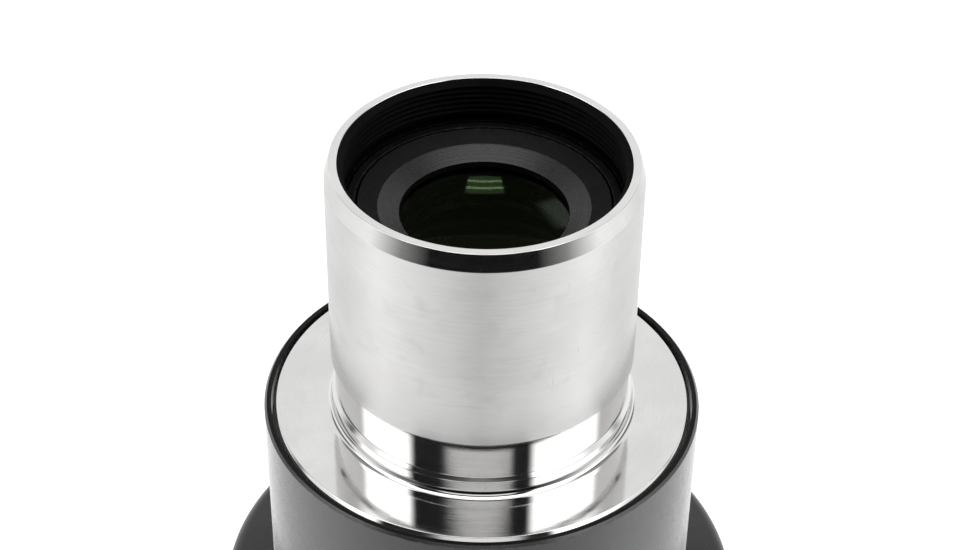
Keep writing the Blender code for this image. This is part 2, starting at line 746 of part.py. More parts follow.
def drag_ring():
    """Rubber ring in the sleeve's bore that gives the twist its smooth drag."""
    radius = (HOUSING_RADIUS + DRAG_GROOVE_RADIUS) / 2
    return rubber_ring("drag_ring", radius, DRAG_RING_SECTION / 2, DRAG_RING_HEIGHT, SLIDING)


def build():
    nosepiece()
    field_cell()
    field_retaining_ring()
    field_doublet()
    housing()
    shoulder_seal()
    field_stop()
    lens_tube()
    main_lens_groups()
    eye_cover_ring()
    glide_ring()
    drag_ring()
    twist_sleeve()
    grip_band()
    eyecup_ring()
    eyecup()
    for index in range(SCREW_COUNT):
        guide_screw(index)
    bpy.context.view_layer.update()
    for obj in PARTS.objects:
        if obj.type == "MESH":
            freeze(obj)


clear_scene()
PARTS = new_collection("telescope_eyepiece")
CUTTERS = new_collection("cutters")
POLISHED = make_material("polished_metal", (0.78, 0.78, 0.79), 0.15, metallic=1.0)
SATIN_BLACK = make_material("satin_black", (0.02, 0.02, 0.02), 0.4)
MATTE_BLACK = make_material("matte_black", (0.015, 0.015, 0.015), 0.6)
RUBBER = make_material("rubber", (0.025, 0.025, 0.025), 0.8)
GLASS = make_material("coated_glass", (0.9, 1.0, 0.93), 0.0, transmission=1.0)
STEEL = make_material("steel", (0.55, 0.55, 0.56), 0.3, metallic=1.0)
PTFE = make_material("ptfe", (0.85, 0.85, 0.82), 0.5)
SHOULDER = new_empty("shoulder")
SHOULDER.location.z = SHOULDER_HEIGHT * MM
SLIDING = new_empty("eyecup_slide", SHOULDER)
TURNING = new_empty("eyecup_turn", SLIDING)
build()
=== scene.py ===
"""Looks of a telescope eyepiece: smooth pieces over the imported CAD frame, in a softly lit studio.

The frame is in metres with +Z up the optical axis, and the eyepiece stands on its eyecup at z = 0. Sizes here
are millimetres. Heights are measured from the shoulder, the polished face that the barrel rises from: up is
towards the telescope and down is towards the eye.
"""

import json
import math

import bmesh
import bpy
from mathutils import Matrix, Vector

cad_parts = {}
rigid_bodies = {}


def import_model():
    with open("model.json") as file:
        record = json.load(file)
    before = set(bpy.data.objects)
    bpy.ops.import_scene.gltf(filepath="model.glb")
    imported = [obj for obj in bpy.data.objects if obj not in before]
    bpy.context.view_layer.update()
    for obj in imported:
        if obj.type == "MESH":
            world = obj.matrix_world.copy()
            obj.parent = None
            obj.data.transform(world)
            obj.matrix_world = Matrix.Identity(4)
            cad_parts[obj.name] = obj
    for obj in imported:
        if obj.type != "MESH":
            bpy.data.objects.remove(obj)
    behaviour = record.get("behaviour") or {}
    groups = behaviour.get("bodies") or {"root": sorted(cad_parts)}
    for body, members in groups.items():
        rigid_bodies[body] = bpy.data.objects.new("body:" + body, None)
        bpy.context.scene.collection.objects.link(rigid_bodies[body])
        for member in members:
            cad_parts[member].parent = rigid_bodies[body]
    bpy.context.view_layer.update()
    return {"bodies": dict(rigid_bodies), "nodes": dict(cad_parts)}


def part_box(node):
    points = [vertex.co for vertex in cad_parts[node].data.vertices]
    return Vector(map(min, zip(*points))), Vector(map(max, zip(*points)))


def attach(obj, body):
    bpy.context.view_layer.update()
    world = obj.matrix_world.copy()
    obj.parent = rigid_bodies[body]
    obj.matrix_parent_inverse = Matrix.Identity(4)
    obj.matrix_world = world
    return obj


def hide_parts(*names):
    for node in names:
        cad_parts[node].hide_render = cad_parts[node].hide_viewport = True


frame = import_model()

MM = 0.001
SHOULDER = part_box("housing")[1].z / MM
SEGMENTS = 240
CORNER = 0.08  # radius that an edge gets unless its profile says otherwise
CORNER_STEPS = 3
SUPPORT = 0.04  # distance from a rounded edge to the row that keeps the face beside it flat
SHARP_ANGLE = math.radians(34)
STRAIGHT = math.radians(168)  # a corner that opens wider than this counts as straight


def radius_of(node):
    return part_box(node)[1].x / MM


def top_of(node):
    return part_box(node)[1].z / MM - SHOULDER


def bottom_of(node):
    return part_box(node)[0].z / MM - SHOULDER


# Nosepiece
BARREL_RADIUS = 15.875
BARREL_TOP = top_of("nosepiece")
RIM_OUTER = 15.39
RIM_BORE = 14.58
TAPER_FOOT = BARREL_TOP - 1.82
THREAD_MINOR = 13.93
THREAD_DEPTH = 0.33
THREAD_PITCH = 0.6
THREAD_END = 26.4
THREAD_RELIEF = 14.3
THREAD_STEP = 0.05
THREAD_START = 0.93  # share of a turn from +X to where the thread starts
THREAD_RUN_OUT = 0.3
UNDERCUT_RADIUS = 15.47
UNDERCUT_TOP = 6.9
UNDERCUT_BOTTOM = 2.2
ROOT_FILLET = 0.7
FLANGE_RADIUS = radius_of("nosepiece")
FLANGE_THICKNESS = 2.2
FLANGE_BEVEL = 0.35
SPIGOT_RADIUS = 19.0
SEAL_GROOVE_RADIUS = 18.2
SEAL_GROOVE_BOTTOM = -4.0
NOSE_BORE = 14.0

# Field lens group
CELL_FACE = top_of("field_cell")
CELL_SEAT_RADIUS = 12.85
RING_THICKNESS = 2.05
RING_DISH_RADIUS = 10.65
RING_DISH_DEPTH = 0.6
RING_CONE_DEPTH = 1.35
FIELD_APERTURE = 8.5
CELL_FLARE_RADIUS = 12.6
GAP = 0.2

# Housing and lens tube
HOUSING_RADIUS = radius_of("housing")
HOUSING_EDGE = 0.27
FLANGE_SEAT_RADIUS = 22.35
HOUSING_BORE = 20.4
SPIGOT_BORE = 19.3
LEDGE_TOP = -9.6
LEDGE_BOTTOM = -11.0
LEDGE_RADIUS = 17.8
STOP_APERTURE = 12.0
TUBE_BORE = 17.15
EYE_BORE = 14.15
EYE_STEP = -41.0
TUBE_LIP_RADIUS = 12.6
TUBE_LIP_HEIGHT = 1.8
EYE_LENS_RADIUS = 13.9
MAIN_RING_BORE = 15.2
FIELD_SPACER_BORE = 15.5
EYE_SPACER_BORE = 12.9
EYE_SPACER_MOUTH = 15.4
COVER_LAND_BORE = 18.4
COVER_APERTURE = 13.4
COVER_EDGE = 1.6
NOTCH_WIDTH = 1.6
NOTCH_DEPTH = 1.0

# Sleeve, grip and eyecup
SLEEVE_BORE = 23.4
COLLAR_EDGE = 1.3
COLLAR_BOTTOM = -31.0
GRIP_SEAT_RADIUS = 26.7
REAR_COLLAR_TOP = -57.6
REAR_COLLAR_RADIUS = 28.2
REAR_COLLAR_EDGE = 0.9
RING_SEAT_BORE = 25.4
RING_SEAT_TOP = -60.4
GLIDE_HEIGHT = -29.8
GLIDE_GROOVE_RADIUS = 24.3
GLIDE_GROOVE_HALF = 1.4
DRAG_HEIGHT = -33.2
DRAG_GROOVE_RADIUS = 24.7
DRAG_GROOVE_HALF = 0.95
SCREW_HEIGHT = -45.0
SCREW_HOLE_RADIUS = 1.7
GRIP_RIBS = 36
GRIP_GROOVE_DEPTH = 0.7
GRIP_GROOVE_SHARE = 0.36
NECK_RADIUS = 23.6
NECK_LENGTH = 1.4
LIP_THICKNESS = 1.2
EYECUP_RING_BORE = 20.6
EYECUP_LIP_RADIUS = 24.8
EYECUP_BEAD_RADIUS = 25.0
LENS_STEPS = 20
EYECUP_BORE = 22.4
EYECUP_FOOT_OUTER = 25.2
EYECUP_FOOT_INNER = 23.4
SEAL_SECTIONS = {"shoulder_seal": 0.35, "drag_ring": 0.55}  # radius of each ring's round section


# ---------------------------------------------------------------- shapes


def soften(profile, closed):
    """Rounds the corners of a profile and returns its points as (radius, height, edge).

    A profile point is (radius, height) or (radius, height, corner radius). Edge is 1 on outward corners,
    where wear shows, and 0 elsewhere. Rows are added beside each corner so that the faces by it shade flat.
    """
    count = len(profile)
    flat = [Vector(point[:2]) for point in profile]
    area = 0.0
    for here, after in zip(flat, flat[1:] + flat[:1]):
        area += here.x * after.y - after.x * here.y
    points = []
    for i, point in enumerate(profile):
        here = flat[i]
        radius = point[2] if len(point) > 2 else CORNER
        if radius == 0 or (not closed and i in (0, count - 1)):
            points.append((here.x, here.y, 0.0))
            continue
        before = flat[i - 1] - here
        after = flat[(i + 1) % count] - here
        turn = before.angle(after)
        if turn > STRAIGHT:
            points.append((here.x, here.y, 0.0))
            continue
        cut = min(radius / math.tan(turn / 2), 0.38 * before.length, 0.38 * after.length)
        support = min(SUPPORT, 0.1 * before.length, 0.1 * after.length)
        before.normalize()
        after.normalize()
        outward = (before.x * after.y - before.y * after.x) * area < 0
        start = here + before * cut
        end = here + after * cut
        first = here + before * (cut + support)
        last = here + after * (cut + support)
        points.append((first.x, first.y, 0.0))
        for step in range(CORNER_STEPS + 1):
            t = step / CORNER_STEPS
            place = start * (1 - t) ** 2 + here * (2 * t * (1 - t)) + end * t**2
            points.append((place.x, place.y, 1.0 if outward else 0.0))
        points.append((last.x, last.y, 0.0))
    return points


def revolve(name, profile, materials, segments=SEGMENTS, shape=None, pick=None):
    """A closed body turned about the optical axis from a profile in millimetres.

    shape(radius, height, angle) returns a new radius. pick(radius, height, normal) returns a material index.
    """
    closed = profile[0][0] > 0
    rows = soften(profile, closed)
    vertices = []
    edges = []
    rings = []
    for radius, height, edge in rows:
        if radius < 1e-9:
            rings.append([len(vertices)])
            vertices.append((0.0, 0.0, (height + SHOULDER) * MM))
            edges.append(edge)
            continue
        ring = []
        for k in range(segments):
            angle = 2 * math.pi * k / segments
            r = shape(radius, height, angle) if shape else radius
            ring.append(len(vertices))
            vertices.append((r * math.cos(angle) * MM, r * math.sin(angle) * MM, (height + SHOULDER) * MM))
            edges.append(edge)
        rings.append(ring)
    pairs = list(zip(rings, rings[1:]))
    if closed:
        pairs.append((rings[-1], rings[0]))
    faces = []
    for a, b in pairs:
        for k in range(segments):
            n = (k + 1) % segments
            if len(a) == 1 and len(b) == 1:
                continue
            if len(a) == 1:
                faces.append((a[0], b[k], b[n]))
            elif len(b) == 1:
                faces.append((a[k], b[0], a[n]))
            else:
                faces.append((a[k], b[k], b[n], a[n]))
    mesh = bpy.data.meshes.new(name)
    mesh.from_pydata(vertices, [], faces)
    attribute = mesh.attributes.new("edge", "FLOAT", "POINT")
    attribute.data.foreach_set("value", edges)
    obj = bpy.data.objects.new(name, mesh)
    bpy.context.scene.collection.objects.link(obj)
    finish_mesh(obj, materials, pick)
    return obj


def finish_mesh(obj, materials, pick=None):
    """Turns the faces outwards, shades them smooth across gentle corners and gives them their materials."""
    mesh = obj.data
    bm = bmesh.new()
    bm.from_mesh(mesh)
    bmesh.ops.recalc_face_normals(bm, faces=bm.faces)
    bm.to_mesh(mesh)
    bm.free()
    mesh.materials.clear()
    for material in materials:
        mesh.materials.append(material)
    if pick:
        for face in mesh.polygons:
            centre = face.center
            radius = math.hypot(centre.x, centre.y) / MM
            out = (face.normal.x * centre.x + face.normal.y * centre.y) / max(radius * MM, 1e-9)
            face.material_index = pick(radius, centre.z / MM - SHOULDER, Vector((out, face.normal.z)))
    mesh.shade_smooth()
    mesh.set_sharp_from_angle(angle=SHARP_ANGLE)


def carve(obj, cutters):
    """Cuts the cutters out of obj and removes them."""
    for cutter in cutters:
        boolean = obj.modifiers.new(cutter.name, "BOOLEAN")
        boolean.operation = "DIFFERENCE"
        boolean.solver = "EXACT"
        boolean.object = cutter
    bpy.context.view_layer.update()
    graph = bpy.context.evaluated_depsgraph_get()
    mesh = bpy.data.meshes.new_from_object(obj.evaluated_get(graph))
    obj.modifiers.clear()
    obj.data = mesh
    mesh.name = obj.name
    mesh.shade_smooth()
    mesh.set_sharp_from_angle(angle=SHARP_ANGLE)
    for cutter in cutters:
        bpy.data.objects.remove(cutter)


def block(name, size, height):
    """A box of millimetre sides centred on the axis at a height, used as a cutter."""
    bm = bmesh.new()
    bmesh.ops.create_cube(bm, size=1.0)
    bmesh.ops.scale(bm, vec=[side * MM for side in size], verts=bm.verts)
    bmesh.ops.translate(bm, vec=(0, 0, (height + SHOULDER) * MM), verts=bm.verts)
    return mesh_object(name, bm)


def rod(name, radius, inner, outer, height, angle):
    """A round bar pointing away from the axis between two distances from it, used as a cutter."""
    bm = bmesh.new()
    bmesh.ops.create_cone(
        bm, cap_ends=True, segments=32, radius1=radius * MM, radius2=radius * MM, depth=(outer - inner) * MM
    )
    bmesh.ops.rotate(bm, matrix=Matrix.Rotation(math.pi / 2, 3, "Y"), verts=bm.verts)
    bmesh.ops.translate(bm, vec=((inner + outer) / 2 * MM, 0, (height + SHOULDER) * MM), verts=bm.verts)
    bmesh.ops.rotate(bm, matrix=Matrix.Rotation(angle, 3, "Z"), verts=bm.verts)
    return mesh_object(name, bm)


def mesh_object(name, bm):
    mesh = bpy.data.meshes.new(name)
    bm.to_mesh(mesh)
    bm.free()
    obj = bpy.data.objects.new(name, mesh)
    bpy.context.scene.collection.objects.link(obj)
    return obj


def place(obj, body, slot, *nodes):
    """Hangs a finished piece on its CAD body, in the place of the CAD nodes that it stands for."""
    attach(obj, body)
    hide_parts(*nodes)
    return obj


# ---------------------------------------------------------------- materials


class Graph:
    """Short ways to add nodes to a material's or a world's node tree."""

    def __init__(self, tree):
        self.tree = tree

    def node(self, kind, inputs=None, **settings):
        made = self.tree.nodes.new(kind)
        for key, value in settings.items():
            setattr(made, key, value)
        for key, value in (inputs or {}).items():
            self.put(made.inputs[key], value)
        return made

    def put(self, socket, value):
        if isinstance(value, bpy.types.NodeSocket):
            self.tree.links.new(value, socket)
        else:
            socket.default_value = value

    def math(self, operation, a, b=0.0):
        return self.node("ShaderNodeMath", {0: a, 1: b}, operation=operation).outputs[0]

    def range(self, value, low, high, to_low=0.0, to_high=1.0, smooth=True):
        kind = "SMOOTHSTEP" if smooth else "LINEAR"
        inputs = {"Value": value, "From Min": low, "From Max": high, "To Min": to_low, "To Max": to_high}
        return self.node("ShaderNodeMapRange", inputs, interpolation_type=kind).outputs["Result"]

    def mix(self, factor, a, b, blend="MIX"):
        made = self.node("ShaderNodeMix", data_type="RGBA", blend_type=blend)
        self.put(made.inputs[0], factor)
        self.put(made.inputs[6], a)
        self.put(made.inputs[7], b)
        return made.outputs[2]

    def noise(self, vector, scale, detail=2.0, roughness=0.5):
        inputs = {"Vector": vector, "Scale": scale, "Detail": detail, "Roughness": roughness}
        return self.node("ShaderNodeTexNoise", inputs).outputs[0]

    def combine(self, x, y, z):
        return self.node("ShaderNodeCombineXYZ", {0: x, 1: y, 2: z}).outputs[0]


class TurnedGraph(Graph):
    """A material's node tree with the coordinates that turned pieces need, all in millimetres."""

    def __init__(self, name):
        material = bpy.data.materials.new(name)
        material.use_nodes = True
        super().__init__(material.node_tree)
        self.material = material
        self.shader = material.node_tree.nodes["Principled BSDF"]
        place = self.node("ShaderNodeTexCoord").outputs["Object"]
        scaled = self.node("ShaderNodeVectorMath", {0: place, 1: (1 / MM,) * 3}, operation="MULTIPLY")
        self.place = scaled.outputs[0]
        split = self.node("ShaderNodeSeparateXYZ", {0: self.place})
        self.x = split.outputs[0]
        self.y = split.outputs[1]
        self.z = split.outputs[2]
        x_squared = self.math("MULTIPLY", self.x, self.x)
        y_squared = self.math("MULTIPLY", self.y, self.y)
        radius = self.math("SQRT", self.math("ADD", x_squared, y_squared))
        # rises along a barrel and outwards along a flat face, so that both get rings
        self.along = self.math("ADD", self.z, self.math("MULTIPLY", radius, 0.87))
        self.edge = self.node("ShaderNodeAttribute", attribute_name="edge").outputs["Fac"]

    def lathe(self, lines, drift=0.05):
        """Noise in fine rings round the axis, drifting along each ring. Lines is rings per millimetre."""
        x = self.math("MULTIPLY", self.x, drift)
        y = self.math("MULTIPLY", self.y, drift)
        along = self.math("MULTIPLY", self.along, lines)
        return self.noise(self.combine(x, y, along), 1.0)

    def streaks(self, length, width, threshold):
        """Sparse thin marks along the axis, as a mask."""
        x = self.math("DIVIDE", self.x, width)
        y = self.math("DIVIDE", self.y, width)
        z = self.math("DIVIDE", self.along, length)
        return self.range(self.noise(self.combine(x, y, z), 1.0, 1.0), threshold, threshold + 0.03)

    def ring_marks(self, length, width, threshold, offset):
        """Sparse thin marks round the axis, as a mask. Offset picks another pattern."""
        x = self.math("DIVIDE", self.x, length)
        y = self.math("DIVIDE", self.y, length)
        z = self.math("ADD", self.math("DIVIDE", self.along, width), offset)
        return self.range(self.noise(self.combine(x, y, z), 1.0, 1.0), threshold, threshold + 0.03)

    def specks(self, spacing, size, share):
        """Small separate dots, as a mask. Share is how many of the cells hold a dot."""
        cells = self.node("ShaderNodeTexVoronoi", {"Vector": self.place, "Scale": 1 / spacing})
        dot = self.range(cells.outputs["Distance"], size / spacing, 0.5 * size / spacing)
        chosen = self.node("ShaderNodeSeparateColor", {0: cells.outputs["Color"]}).outputs[0]
        return self.math("MULTIPLY", dot, self.math("LESS_THAN", chosen, share))

    def bump(self, height, distance, after=None):
        """A normal from a height. Distance is in millimetres, and after is a normal to add this one to."""
        inputs = {"Height": height, "Distance": distance * MM}
        if after is not None:
            inputs["Normal"] = after
        return self.node("ShaderNodeBump", inputs).outputs[0]

    def surface(self, **inputs):
        for key, value in inputs.items():
            self.put(self.shader.inputs[key.replace("_", " ")], value)
        return self.material


def polished_steel():
    """Turned and polished steel. Its rings spread reflections along the axis but not round it.

    The barrel is the dullest part, then the rim's taper, then the undercut and the flange.
    """
    g = TurnedGraph("polished_steel")
    cloud = g.noise(g.place, 0.13, 3.0)
    smudge = g.range(g.noise(g.place, 0.38, 4.0, 0.6), 0.52, 0.74)
    lathe = g.lathe(6.0)
    fine = g.lathe(16.0, 0.3)
    colour = g.mix(g.range(cloud, 0.35, 0.68), (0.68, 0.677, 0.67, 1), (0.63, 0.626, 0.62, 1))
    colour = g.mix(g.math("MULTIPLY", smudge, 0.3), colour, (0.58, 0.575, 0.565, 1))
    colour = g.mix(g.range(fine, 0.45, 0.75, 0.0, 0.3), colour, (0.55, 0.55, 0.545, 1))
    marks = g.math("MAXIMUM", g.streaks(3.2, 0.16, 0.78), g.ring_marks(2.6, 0.07, 0.785, 31.0))
    colour = g.mix(g.math("MULTIPLY", marks, 0.2), colour, (0.3, 0.3, 0.3, 1))
    foot = SHOULDER + UNDERCUT_TOP
    taper = SHOULDER + TAPER_FOOT
    barrel = g.math("MULTIPLY", g.range(g.z, foot - 0.1, foot), g.range(g.z, taper + 0.1, taper))
    rough = g.math("ADD", g.range(lathe, 0.3, 0.7, 0.04, 0.07, False), g.math("MULTIPLY", smudge, 0.02))
    rough = g.math("ADD", rough, g.math("MULTIPLY", barrel, 0.16))
    rough = g.math("ADD", rough, g.math("MULTIPLY", g.range(g.z, taper, taper + 0.1), 0.04))
    rough = g.math("ADD", rough, g.math("MULTIPLY", marks, 0.1))
    height = g.math("ADD", g.math("MULTIPLY", lathe, 0.5), g.math("MULTIPLY", fine, 0.5))
    round_axis = g.node("ShaderNodeTangent", direction_type="RADIAL", axis="Z").outputs[0]
    g.surface(Anisotropic=0.9, Anisotropic_Rotation=0.25, Tangent=round_axis)
    return g.surface(Base_Color=colour, Metallic=1.0, Roughness=rough, Normal=g.bump(height, 0.0015))


def satin_black(name="satin_black", coat=0.9):
    """Fine satin anodising, a clear oxide over dyed metal, rubbed pale where edges are handled."""
    g = TurnedGraph(name)
    cloud = g.noise(g.place, 0.2, 3.0)
    grain = g.noise(g.place, 9.0, 2.0)
    colour = g.mix(g.range(cloud, 0.35, 0.7), (0.009, 0.009, 0.009, 1), (0.014, 0.014, 0.0135, 1))
    dust = g.math("MAXIMUM", g.specks(1.9, 0.05, 0.12), g.specks(5.0, 0.11, 0.1))
    rub = g.noise(g.place, 1.3, 4.0, 0.65)
    wear = g.math("MULTIPLY", g.edge, g.range(rub, 0.44, 0.64, 0.15, 1.0))
    colour = g.mix(g.math("MULTIPLY", wear, 0.35), colour, (0.2, 0.2, 0.2, 1))
    colour = g.mix(g.math("MULTIPLY", dust, 0.6), colour, (0.5, 0.5, 0.48, 1))
    rough = g.range(g.noise(g.place, 1.1, 3.0), 0.3, 0.7, 0.22, 0.28, False)
    normal = g.bump(grain, 0.01, after=g.bump(g.lathe(5.0), 0.005))
    g.surface(Coat_Weight=coat, Coat_Roughness=rough, Coat_IOR=1.6, Coat_Normal=normal)
    g.surface(Specular_IOR_Level=0.2, Sheen_Weight=1.2 * coat, Sheen_Roughness=0.2)
    return g.surface(Base_Color=colour, Roughness=rough, Normal=normal)


def matte_black(name="matte_black", low=0.0012, high=0.0025, rough=(0.5, 0.62), shine=0.12):
    """Dull black against stray light, with the rings that the lathe left under it.

    Low and high are its darkest and palest shades, and shine is its specular level.
    """
    g = TurnedGraph(name)
    cloud = g.noise(g.place, 0.4, 3.0)
    colour = g.mix(g.range(cloud, 0.3, 0.7), (low, low, low, 1), (high, high, 0.95 * high, 1))
    dust = g.specks(2.6, 0.05, 0.1)
    wear = g.math("MULTIPLY", g.edge, g.range(g.noise(g.place, 1.7, 3.0), 0.45, 0.7))
    colour = g.mix(g.math("MULTIPLY", wear, 0.12), colour, (0.12, 0.12, 0.12, 1))
    colour = g.mix(g.math("MULTIPLY", dust, 0.8), colour, (0.6, 0.6, 0.58, 1))
    dull = g.range(g.noise(g.place, 1.5, 2.0), 0.3, 0.7, *rough, False)
    normal = g.bump(g.noise(g.place, 11.0, 2.0), 0.012, after=g.bump(g.lathe(4.0), 0.02))
    return g.surface(Base_Color=colour, Roughness=dull, Normal=normal, Specular_IOR_Level=shine)


def rubber():
    g = TurnedGraph("rubber")
    cloud = g.noise(g.place, 0.35, 4.0, 0.6)
    grain = g.noise(g.place, 5.0, 3.0, 0.6)
    colour = g.mix(g.range(cloud, 0.35, 0.7), (0.018, 0.018, 0.018, 1), (0.034, 0.033, 0.032, 1))
    dust = g.specks(1.4, 0.06, 0.2)
    wear = g.math("MULTIPLY", g.edge, g.range(cloud, 0.4, 0.7, 0.0, 0.4))
    colour = g.mix(wear, colour, (0.07, 0.07, 0.068, 1))
    colour = g.mix(g.math("MULTIPLY", dust, 0.5), colour, (0.3, 0.29, 0.27, 1))
    rough = g.range(grain, 0.3, 0.7, 0.62, 0.8, False)
    return g.surface(Base_Color=colour, Roughness=rough, Normal=g.bump(grain, 0.035))


def coated_glass():
    """Clear glass with a green anti-reflection coating. It stays perfectly smooth: see make_world."""
    g = TurnedGraph("coated_glass")
    tint = g.mix(g.noise(g.place, 0.12, 1.0), (0.62, 1.0, 0.5, 1), (0.8, 1.0, 0.66, 1))
    glass = {"Transmission_Weight": 1.0, "IOR": 1.52, "Specular_Tint": tint}
    return g.surface(Base_Color=(0.93, 0.97, 0.93, 1), Roughness=0.0, **glass)


def lens_cement():
    """The joint of a cemented pair, where light goes straight on."""
    g = TurnedGraph("lens_cement")
    tint = g.mix(g.noise(g.place, 0.3, 1.0), (0.97, 0.985, 0.96, 1), (0.95, 0.97, 0.94, 1))
    g.surface(Transmission_Weight=1.0, IOR=1.0, Specular_IOR_Level=0.0)
    return g.surface(Base_Color=tint, Roughness=0.0)


def screw_steel():
    g = TurnedGraph("screw_steel")
    blotch = g.noise(g.place, 1.2, 3.0)
    colour = g.mix(blotch, (0.5, 0.5, 0.51, 1), (0.62, 0.61, 0.6, 1))
    normal = g.bump(g.noise(g.place, 8.0, 2.0), 0.01)
    rough = g.range(blotch, 0.3, 0.7, 0.25, 0.4)
    return g.surface(Base_Color=colour, Metallic=1.0, Roughness=rough, Normal=normal)


def ptfe():
    g = TurnedGraph("ptfe")
    blotch = g.noise(g.place, 0.8, 3.0)
    colour = g.mix(blotch, (0.86, 0.86, 0.83, 1), (0.78, 0.77, 0.72, 1))
    normal = g.bump(g.lathe(6.0), 0.02)
    return g.surface(Base_Color=colour, Roughness=g.range(blotch, 0.3, 0.7, 0.42, 0.55), Normal=normal)


POLISHED = polished_steel()
SATIN = satin_black()
SLEEVE_BLACK = satin_black("sleeve_black", 0.45)
MATTE = matte_black()
BORE_BLACK = matte_black("bore_black", 0.0005, 0.001, (0.5, 0.6), 0.05)
RIM_BLACK = matte_black("rim_black", 0.002, 0.004, (0.34, 0.42), 0.1)
CONE_BLACK = matte_black("cone_black", 0.002, 0.003, (0.24, 0.3), 0.4)
RUBBER = rubber()
GLASS = coated_glass()
CEMENT = lens_cement()
STEEL = screw_steel()
PTFE = ptfe()


# ---------------------------------------------------------------- pieces


def thread(radius, height, angle):
    """Cuts the filter thread, a right-hand V groove, into the rows of the nosepiece that are at its crest."""
    if abs(radius - THREAD_MINOR) > 0.01 or height < THREAD_END:
        return radius
    phase = (height / THREAD_PITCH - angle / (2 * math.pi) + THREAD_START) % 1.0
    groove = min(max(1.25 * (1 - abs(2 * phase - 1)) - 0.2, 0.0), 0.92)
    run_out = min(max((height - THREAD_END) / THREAD_RUN_OUT, 0.0), 1.0)
    return radius + THREAD_DEPTH * groove * run_out


def make_nosepiece():
    """Barrel, shoulder flange and spigot in one, polished outside and blackened inside."""
    undercut = BARREL_RADIUS - UNDERCUT_RADIUS
    bottom = bottom_of("nosepiece")
    fillet = [(BARREL_RADIUS, ROOT_FILLET + SUPPORT, 0)]
    for step in range(7):
        a = math.radians(180 + 90 * step / 6)
        r = BARREL_RADIUS + ROOT_FILLET * (1 + math.cos(a))
        fillet.append((r, ROOT_FILLET * (1 + math.sin(a)), 0))
    fillet.append((BARREL_RADIUS + ROOT_FILLET + SUPPORT, 0.0, 0))
    profile = [
        (RIM_OUTER, BARREL_TOP, 0.09),
        (BARREL_RADIUS, TAPER_FOOT, 0.05),
        (BARREL_RADIUS, UNDERCUT_TOP, 0.07),
        (UNDERCUT_RADIUS, UNDERCUT_TOP - undercut / 2, 0.05),
        (UNDERCUT_RADIUS, UNDERCUT_BOTTOM, 0.05),
        (BARREL_RADIUS, UNDERCUT_BOTTOM - undercut, 0.07),
        *fillet,
        (FLANGE_RADIUS - FLANGE_BEVEL, 0.0, 0.06),
        (FLANGE_RADIUS, -FLANGE_BEVEL, 0.06),
        (FLANGE_RADIUS, -FLANGE_THICKNESS),
        (SEAL_GROOVE_RADIUS, -FLANGE_THICKNESS),
        (SEAL_GROOVE_RADIUS, SEAL_GROOVE_BOTTOM),
        (SPIGOT_RADIUS, SEAL_GROOVE_BOTTOM),
        (SPIGOT_RADIUS, bottom),
        (NOSE_BORE, bottom),
        (NOSE_BORE, CELL_FACE, 0.04),
        (THREAD_RELIEF, CELL_FACE, 0.04),
        (THREAD_RELIEF, THREAD_END - 0.2, 0.04),
    ]
    thread_top = BARREL_TOP - (RIM_BORE - THREAD_MINOR)
    rows = int((thread_top - THREAD_END) / THREAD_STEP)
    for row in range(rows + 1):
        profile.append((THREAD_MINOR, THREAD_END + (thread_top - THREAD_END) * row / rows, 0))
    profile.append((RIM_BORE, BARREL_TOP, 0.05))

    def inside(radius, height, normal):
        return 1 if radius < RIM_BORE - 0.06 and normal.x < 0.2 and height > bottom + 0.1 else 0

    nose = revolve("nosepiece_turned", profile, [POLISHED, BORE_BLACK], shape=thread, pick=inside)
    place(nose, "body", "polished_steel", "nosepiece")


def make_field_cell():
    """The cell of the front lens pair, and the dished ring that holds the lenses in it."""
    cell = "field_cell"
    outer = radius_of(cell)
    lens_seat = radius_of("field_lens_front") + GAP
    ring_floor = CELL_FACE - RING_THICKNESS - GAP
    lens_floor = bottom_of("field_lens_rear") - GAP
    profile = [
        (outer, CELL_FACE, 0.12),
        (outer, bottom_of(cell)),
        (CELL_FLARE_RADIUS, bottom_of(cell)),
        (FIELD_APERTURE, lens_floor - 0.9),
        (FIELD_APERTURE, lens_floor),
        (lens_seat, lens_floor),
        (lens_seat, ring_floor),
        (CELL_SEAT_RADIUS, ring_floor),
        (CELL_SEAT_RADIUS, CELL_FACE, 0.1),
    ]
    place(revolve("field_cell_turned", profile, [MATTE]), "body", "matte_black", cell)
    ring = "field_retaining_ring"
    face = top_of(ring)
    profile = [
        (radius_of(ring), face, 0.1),
        (radius_of(ring), bottom_of(ring)),
        (FIELD_APERTURE, bottom_of(ring)),
        (FIELD_APERTURE, face - RING_CONE_DEPTH, 0.04),
        (RING_DISH_RADIUS, face - RING_DISH_DEPTH, 0.05),
    ]

    def cone(radius, height, normal):
        return 1 if radius < RING_DISH_RADIUS + 0.02 and normal.y > 0.2 else 0

    turned = revolve("field_retaining_ring_turned", profile, [MATTE, CONE_BLACK], pick=cone)
    place(turned, "body", "matte_black", ring)


def lens_profile(node, front_sag, rear_sag, edge_top, edge_bottom):
    """Outline of a lens from the middle of its front to the middle of its back."""
    radius = radius_of(node)
    front = lens_curve(radius, front_sag)
    rear = lens_curve(radius, rear_sag)
    bevel = 0.12
    outline = [(r, z + edge_top, 0) for r, z in front if r < radius - bevel]
    outline += [(radius - bevel, edge_top, 0.03), (radius, edge_top - bevel, 0.03)]
    outline += [(radius, edge_bottom + bevel, 0.03), (radius - bevel, edge_bottom, 0.03)]
    outline += [(r, z + edge_bottom, 0) for r, z in reversed(rear) if r < radius - bevel]
    return outline


def lens_curve(radius, sag):
    """Points of a spherical surface from its middle, at height sag, to its edge at height 0."""
    curve = (radius**2 + sag**2) / (2 * abs(sag))
    turn = math.asin(radius / curve)
    points = []
    for step in range(LENS_STEPS + 1):
        angle = turn * step / LENS_STEPS
        points.append((curve * math.sin(angle), math.copysign(abs(sag) - curve * (1 - math.cos(angle)), sag)))
    return points


